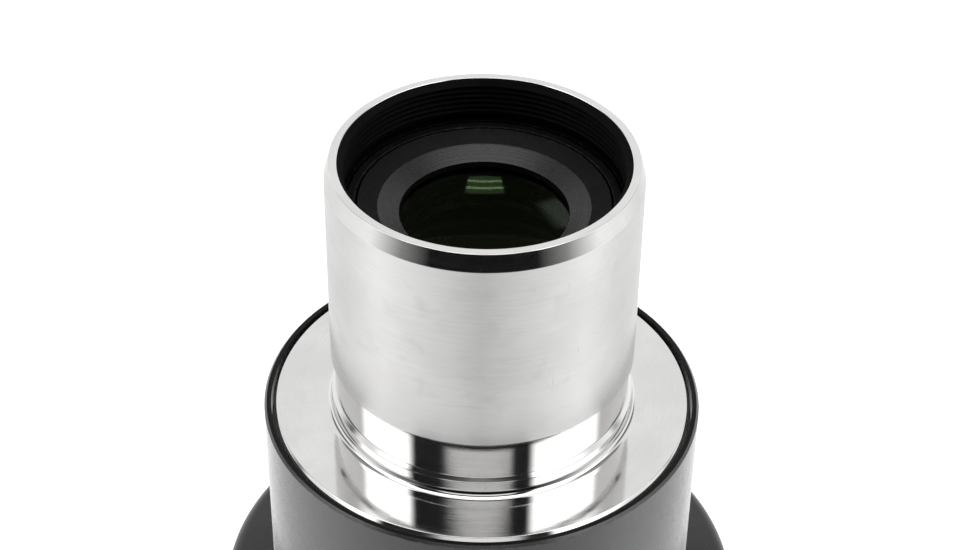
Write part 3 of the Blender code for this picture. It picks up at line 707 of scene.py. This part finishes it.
def make_lens(node, front_sag, rear_sag, edge_top, edge_bottom, cemented):
    """A lens with polished faces and a ground edge painted black.

    Cemented is 1 if its front is the cemented face, -1 if its back is and 0 if neither is.
    """
    radius = radius_of(node)

    def edge(r, height, normal):
        if r > radius - 0.2 and normal.x > 0.3:
            return 1
        return 2 if normal.y * cemented > 0.2 else 0

    outline = lens_profile(node, front_sag, rear_sag, edge_top, edge_bottom)
    glass = revolve(f"{node}_polished", outline, [GLASS, MATTE, CEMENT], 160, pick=edge)
    place(glass, "body", "coated_glass", node)


def make_lenses():
    """Seven lenses. A hollow surface has its edge at the end of the CAD piece and a full one its middle."""
    sags = {
        "field_lens_front": (-1.1, 1.7, -1),
        "field_lens_rear": (1.7, -0.8, 1),
        "collecting_lens": (1.9, -1.2, 0),
        "middle_lens_flint": (0.9, 4.2, -1),
        "middle_lens_crown": (4.2, -4.0, 1),
        "eye_lens_crown": (2.6, -3.2, -1),
        "eye_lens_flint": (-3.2, -0.6, 1),
    }
    for node, (front, rear, cemented) in sags.items():
        edge_top = top_of(node) - max(front, 0.0)
        edge_bottom = bottom_of(node) - min(rear, 0.0)
        make_lens(node, front, rear, edge_top, edge_bottom, cemented)


def make_housing():
    """The black tube below the shoulder. Its helical grooves are hidden, so they are in the CAD only."""
    bottom = bottom_of("housing")
    seat = -FLANGE_THICKNESS - GAP
    profile = [
        (HOUSING_RADIUS - HOUSING_EDGE, 0.0, 0.05),
        (HOUSING_RADIUS, -HOUSING_EDGE, 0.05),
        (HOUSING_RADIUS, bottom + HOUSING_EDGE, 0.05),
        (HOUSING_RADIUS - HOUSING_EDGE, bottom, 0.05),
        (HOUSING_BORE, bottom, 0.15),
        (HOUSING_BORE, LEDGE_BOTTOM),
        (LEDGE_RADIUS, LEDGE_BOTTOM),
        (LEDGE_RADIUS, LEDGE_TOP),
        (SPIGOT_BORE, LEDGE_TOP),
        (SPIGOT_BORE, seat),
        (FLANGE_SEAT_RADIUS, seat),
        (FLANGE_SEAT_RADIUS, 0.0, 0.06),
    ]

    def rim(radius, height, normal):
        return 1 if height > -0.2 and radius < HOUSING_RADIUS - HOUSING_EDGE + 0.02 else 0

    place(revolve("housing_turned", profile, [SATIN, RIM_BLACK], pick=rim), "body", "satin_black", "housing")


def make_inner_rings():
    """Field stop, lens tube, spacers and retaining ring, all matte black."""
    stop = "field_stop"
    top, low = top_of(stop), bottom_of(stop)
    knife = [
        (radius_of(stop), top, 0.04),
        (radius_of(stop), low, 0.04),
        (STOP_APERTURE + top - low, low, 0.03),
        (STOP_APERTURE, top, 0.02),
    ]
    place(revolve("field_stop_turned", knife, [MATTE]), "body", "matte_black", stop)
    tube = "lens_tube"
    top, low = top_of(tube), bottom_of(tube)
    lip = low + TUBE_LIP_HEIGHT
    profile = [
        (radius_of(tube), top, 0.2),
        (radius_of(tube), low, 0.2),
        (TUBE_LIP_RADIUS, low),
        (TUBE_LIP_RADIUS, lip),
        (EYE_BORE, lip),
        (EYE_BORE, EYE_STEP),
        (TUBE_BORE, EYE_STEP),
        (TUBE_BORE, top, 0.15),
    ]
    place(revolve("lens_tube_turned", profile, [MATTE]), "body", "matte_black", tube)
    for node, bore in (("main_retaining_ring", MAIN_RING_BORE), ("field_side_spacer", FIELD_SPACER_BORE)):
        top, low, outer = top_of(node), bottom_of(node), radius_of(node)
        profile = [(outer, top), (outer, low), (bore, low), (bore, top)]
        place(revolve(f"{node}_turned", profile, [MATTE]), "body", "matte_black", node)
    node = "eye_side_spacer"
    top, low = top_of(node), bottom_of(node)
    step = EYE_STEP + GAP
    profile = [
        (radius_of(node), top),
        (radius_of(node), step),
        (EYE_LENS_RADIUS, step),
        (EYE_LENS_RADIUS, low),
        (EYE_SPACER_BORE, low),
        (EYE_SPACER_MOUTH, top),
    ]
    place(revolve(f"{node}_turned", profile, [MATTE]), "body", "matte_black", node)


def make_eye_cover_ring():
    """The coned ring round the eye lens, with two notches for a spanner."""
    node = "eye_cover_ring"
    top, low = top_of(node), bottom_of(node)
    profile = [
        (radius_of(node), top, 0.15),
        (radius_of(node), low, 0.15),
        (COVER_LAND_BORE, low, 0.15),
        (COVER_APERTURE, top - COVER_EDGE, 0.1),
        (COVER_APERTURE, top),
    ]
    ring = revolve("eye_cover_ring_turned", profile, [SATIN])
    carve(ring, [block("spanner_notches", (2 * HOUSING_RADIUS, NOTCH_WIDTH, 2 * NOTCH_DEPTH), low)])
    place(ring, "body", "satin_black", node)


def make_sleeve():
    """The sleeve that twists on the housing, with the recess for the grip and its drag and glide grooves."""
    node = "twist_sleeve"
    top, low = top_of(node), bottom_of(node)
    collar = radius_of(node)
    drag_low, drag_top = DRAG_HEIGHT - DRAG_GROOVE_HALF, DRAG_HEIGHT + DRAG_GROOVE_HALF
    glide_low, glide_top = GLIDE_HEIGHT - GLIDE_GROOVE_HALF, GLIDE_HEIGHT + GLIDE_GROOVE_HALF
    rounded = []
    for step in range(9):
        a = math.radians(90 - 90 * step / 8)
        rounded.append((collar - COLLAR_EDGE * (1 - math.cos(a)), top - COLLAR_EDGE * (1 - math.sin(a)), 0))
    profile = [
        *rounded,
        (collar, COLLAR_BOTTOM, 0.15),
        (GRIP_SEAT_RADIUS, COLLAR_BOTTOM),
        (GRIP_SEAT_RADIUS, REAR_COLLAR_TOP),
        (REAR_COLLAR_RADIUS, REAR_COLLAR_TOP, 0.15),
        (REAR_COLLAR_RADIUS, low + REAR_COLLAR_EDGE, 0.3),
        (REAR_COLLAR_RADIUS - REAR_COLLAR_EDGE, low, 0.2),
        (RING_SEAT_BORE, low),
        (RING_SEAT_BORE, RING_SEAT_TOP),
        (SLEEVE_BORE, RING_SEAT_TOP),
        (SLEEVE_BORE, drag_low),
        (DRAG_GROOVE_RADIUS, drag_low),
        (DRAG_GROOVE_RADIUS, drag_top),
        (SLEEVE_BORE, drag_top),
        (SLEEVE_BORE, glide_low),
        (GLIDE_GROOVE_RADIUS, glide_low),
        (GLIDE_GROOVE_RADIUS, glide_top),
        (SLEEVE_BORE, glide_top),
        (SLEEVE_BORE, top, 0.2),
    ]
    sleeve = revolve("twist_sleeve_turned", profile, [SLEEVE_BLACK])
    holes = []
    for index in range(3):
        angle = math.radians(90 + 120 * index)
        name = f"screw_hole_{index + 1}"
        holes.append(rod(name, SCREW_HOLE_RADIUS, SLEEVE_BORE - 1, GRIP_SEAT_RADIUS + 1, SCREW_HEIGHT, angle))
    carve(sleeve, holes)
    place(sleeve, "eyecup_sleeve", "satin_black", node)


def make_grip_band():
    """Ribbed rubber band. The grooves between the ribs are round-bottomed and run out at both ends."""
    node = "grip_band"
    top, low, outer = top_of(node), bottom_of(node), radius_of(node)
    inner = GRIP_SEAT_RADIUS + GAP
    profile = [(outer, top, 0.25)]
    rows = 40
    for row in range(1, rows):
        profile.append((outer, top + (low - top) * row / rows, 0))
    profile += [(outer, low, 0.25), (inner, low), (inner, top)]

    def ribs(radius, height, angle):
        if radius < outer - 0.3:
            return radius
        phase = (angle / (2 * math.pi) * GRIP_RIBS) % 1.0
        across = abs(phase - 0.5) / (GRIP_GROOVE_SHARE / 2)
        if across >= 1:
            return radius
        groove = math.cos(across * math.pi / 2) ** 0.8
        end = min(top - height, height - low)
        ease = min(max((end - 0.9) / 1.4, 0.0), 1.0)
        return radius - GRIP_GROOVE_DEPTH * groove * math.sqrt(ease * (2 - ease))

    band = revolve("grip_band_ribbed", profile, [RUBBER], segments=GRIP_RIBS * 14, shape=ribs)
    place(band, "eyecup_sleeve", "rubber", node)


def make_eyecup():
    """The ring that screws into the sleeve, and the rubber cup stretched over its lip."""
    node = "eyecup_ring"
    top, low = top_of(node), bottom_of(node)
    neck_top = bottom_of("twist_sleeve")
    lip_top = neck_top - NECK_LENGTH
    profile = [
        (radius_of(node), top),
        (radius_of(node), neck_top),
        (NECK_RADIUS, neck_top),
        (NECK_RADIUS, lip_top),
        (EYECUP_LIP_RADIUS, lip_top),
        (EYECUP_LIP_RADIUS, low),
        (EYECUP_RING_BORE + LIP_THICKNESS / 2, low, 0.15),
        (EYECUP_RING_BORE, low + LIP_THICKNESS / 2, 0.15),
        (EYECUP_RING_BORE, top),
    ]
    place(revolve("eyecup_ring_turned", profile, [SATIN]), "eyecup_sleeve", "satin_black", node)

    node = "eyecup"
    top, foot, outer = top_of(node), bottom_of(node), radius_of(node)
    bead_top = lip_top + GAP
    bead_low = bead_top - LIP_THICKNESS - 2 * GAP
    profile = [
        (outer, top, 0.5),
        (outer - 0.05, top - 0.9, 0.15),
        (outer - 0.45, top - 1.15, 0.15),
        (outer - 0.2, bead_low + 0.3, 0.5),
        (EYECUP_FOOT_OUTER + 1.45, foot + 2.2, 0.6),
        (EYECUP_FOOT_OUTER + 0.7, foot + 1.0, 0.8),
        (EYECUP_FOOT_OUTER, foot, 0.5),
        (EYECUP_FOOT_INNER, foot, 0.4),
        (EYECUP_FOOT_INNER - 0.6, foot + 0.7, 0.5),
        (EYECUP_BORE, bead_low, 0.2),
        (EYECUP_BEAD_RADIUS, bead_low),
        (EYECUP_BEAD_RADIUS, bead_top),
        (NECK_RADIUS + GAP, bead_top),
        (NECK_RADIUS + GAP, top, 0.15),
    ]
    place(revolve("eyecup_moulded", profile, [RUBBER]), "eyecup_sleeve", "rubber", node)


def make_seals():
    """The two rubber rings, round in section."""
    for node, body in (("shoulder_seal", "body"), ("drag_ring", "eyecup_carriage")):
        section = SEAL_SECTIONS[node]
        middle = (top_of(node) + bottom_of(node)) / 2
        radius = radius_of(node) - section
        profile = []
        for step in range(16):
            a = -2 * math.pi * step / 16
            profile.append((radius + section * math.cos(a), middle + section * math.sin(a), 0))
        place(revolve(f"{node}_moulded", profile, [RUBBER]), body, "rubber", node)


def dress_hidden_nodes():
    """The split ring and the screws keep their CAD shapes, with materials of their own."""
    dressed = {"glide_ring": (PTFE, "ptfe")}
    for index in range(3):
        dressed[f"guide_screw_{index + 1}"] = (STEEL, "screw_steel")
    for node, (material, slot) in dressed.items():
        obj = frame["nodes"][node]
        obj.data.materials.clear()
        obj.data.materials.append(material)


make_nosepiece()
make_field_cell()
make_lenses()
make_housing()
make_inner_rings()
make_eye_cover_ring()
make_sleeve()
make_grip_band()
make_eyecup()
make_seals()
dress_hidden_nodes()


# ---------------------------------------------------------------- studio


def round_the_room(g, away, stops):
    """Brightness by direction round the object.

    A stop is (degrees away from the camera's side, brightness), and both sides of the room get it.
    """
    peak = max(value for _, value in stops)
    made = g.node("ShaderNodeValToRGB", {0: g.range(away, 0, 180, smooth=False)})
    elements = made.color_ramp.elements
    while len(elements) < len(stops):
        elements.new(0.5)
    for element, (angle, value) in zip(elements, stops):
        element.position = angle / 180
        element.color = (value / peak,) * 3 + (1,)
    return g.mix(1.0, made.outputs[0], (peak,) * 3 + (1,), "MULTIPLY")


def panel(g, azimuth, elevation, centre, half, soft):
    """Mask of a soft-edged rectangle of the surroundings. Angles are degrees, as (azimuth, elevation)."""
    across = g.math("ABSOLUTE", g.math("SUBTRACT", azimuth, centre[0]))
    up = g.math("ABSOLUTE", g.math("SUBTRACT", elevation, centre[1]))
    across = g.range(across, half[0], half[0] - soft)
    return g.math("MULTIPLY", across, g.range(up, half[1], half[1] - soft))


FLOOR_LIGHT = [(0, 0.8), (45, 1.1), (80, 1.3), (120, 1.0)]
WALL_LIGHT = [(35, 0.005), (55, 0.3), (80, 1.25)]
CEILING_EDGE = 45.6  # degrees up from level to the straight near edge of a black ceiling sheet
CEILING_SOFT = 0.8
# centre, half size and softness in degrees, then brightness. Each one lies over those before it.
SOFT_BOXES = {
    "left panel": ((-81, 46), (29, 18), 9, 2.8),
    "left flag": ((-38, 34), (14, 14), 9, 0.03),
    "right panel": ((72, 46), (36, 18), 9, 2.8),
    "right flag": ((31, 34), (10, 14), 7, 0.03),
    "left side flag": ((-115, 25), (21, 14), 9, 0.2),
    "right side flag": ((122, 25), (21, 14), 9, 0.2),
    "overhead panel": ((0, 90), (180, 30), 6, 2.6),
}


def make_world():
    """A studio: a bright floor, dark beside the camera, soft panels and dark flags.

    The camera sees plain white. Azimuth 0 is the camera's side (-Y) and rises towards +X. Perfectly smooth
    surfaces, which are the lenses, see a dim room with two small lights instead. That stands in for their
    anti-reflection coatings.
    """
    world = bpy.data.worlds.new("studio")
    bpy.context.scene.world = world
    world.use_nodes = True
    world.node_tree.nodes.clear()
    g = Graph(world.node_tree)
    ray = g.node("ShaderNodeTexCoord").outputs["Generated"]
    split = g.node("ShaderNodeSeparateXYZ", {0: ray})
    x, y, z = split.outputs
    degrees = 180 / math.pi
    front = g.math("MULTIPLY", g.math("ARCTAN2", x, g.math("MULTIPLY", y, -1.0)), degrees)
    back = g.math("MULTIPLY", g.math("ARCTAN2", x, y), degrees)
    elevation = g.math("MULTIPLY", g.math("ARCSINE", z), degrees)
    away = g.math("ABSOLUTE", front)

    wall = round_the_room(g, away, WALL_LIGHT)
    light = g.mix(g.range(elevation, -25, -14), round_the_room(g, away, FLOOR_LIGHT), wall)
    light = g.mix(g.range(elevation, 20, 28), light, (1.1, 1.1, 1.1, 1))
    lift = g.math("MULTIPLY", g.math("ARCTAN2", z, g.math("MULTIPLY", y, -1.0)), degrees)
    light = g.mix(g.range(elevation, 46, 48), light, (0.3, 0.3, 0.3, 1))
    past_edge = g.range(lift, CEILING_EDGE, CEILING_EDGE + CEILING_SOFT)
    ceiling = g.math("MULTIPLY", past_edge, g.range(away, 70, 60))
    light = g.mix(ceiling, light, (0.02, 0.02, 0.02, 1))
    for centre, half, soft, brightness in SOFT_BOXES.values():
        light = g.mix(panel(g, front, elevation, centre, half, soft), light, (brightness,) * 3 + (1,))

    stripe = g.range(g.math("SINE", g.math("MULTIPLY", elevation, 2.4)), 0.1, 0.95, 0.5, 2.6)
    striped = g.mix(1.0, g.combine(stripe, stripe, stripe), (0.82, 1.0, 0.68, 1), "MULTIPLY")
    seen = g.node("ShaderNodeLightPath")
    coated = g.mix(g.range(elevation, 10, 80), (0.05, 0.05, 0.035, 1), (0.03, 0.032, 0.022, 1))
    coated = g.mix(panel(g, back, elevation, (-20, 38), (9, 8), 3.0), coated, (0.42, 0.43, 0.46, 1))
    coated = g.mix(panel(g, back, elevation, (0, 57), (6, 6.5), 1.0), coated, striped)
    light = g.mix(seen.outputs["Is Singular Ray"], light, coated)
    light = g.mix(seen.outputs["Is Camera Ray"], light, (1, 1, 1, 1))
    shader = g.node("ShaderNodeBackground", {"Color": light, "Strength": 1.0})
    output = g.node("ShaderNodeOutputWorld")
    g.tree.links.new(shader.outputs[0], output.inputs[0])


def make_floor():
    """A pale floor just under the eyecup. It moves with the slide, so that the raised eyecup stands on it."""
    bm = bmesh.new()
    bmesh.ops.create_circle(bm, cap_ends=True, segments=96, radius=3.0)
    floor = mesh_object("floor", bm)
    g = TurnedGraph("pale_floor")
    tone = g.mix(g.noise(g.place, 0.01, 2.0), (0.86, 0.86, 0.86, 1), (0.9, 0.9, 0.9, 1))
    floor.data.materials.append(g.surface(Base_Color=tone, Roughness=0.8, Specular_IOR_Level=0.0))
    g.put(g.shader.inputs["Emission Color"], (1, 1, 1, 1))
    g.put(g.shader.inputs["Emission Strength"], 0.4)
    floor.parent = frame["bodies"]["eyecup_carriage"]
    floor.location.z = -0.02 * MM
    floor.visible_glossy = False


def make_camera():
    """The photograph's view. The place, tilt and lens come from a fit to the edges of the eyepiece in it."""
    data = bpy.data.cameras.new("camera")
    data.lens = 79.2
    data.sensor_width = 36.0
    data.clip_start = 0.01
    data.clip_end = 20.0
    camera = bpy.data.objects.new("camera", data)
    camera.location = (0.0, -0.17275, 0.22112)
    camera.rotation_euler = (math.radians(51.938), math.radians(-0.725), math.radians(0.38))
    bpy.context.scene.collection.objects.link(camera)
    bpy.context.scene.camera = camera


make_world()
make_floor()
make_camera()
bpy.context.scene.view_settings.view_transform = "Standard"
bpy.context.scene.view_settings.look = "None"
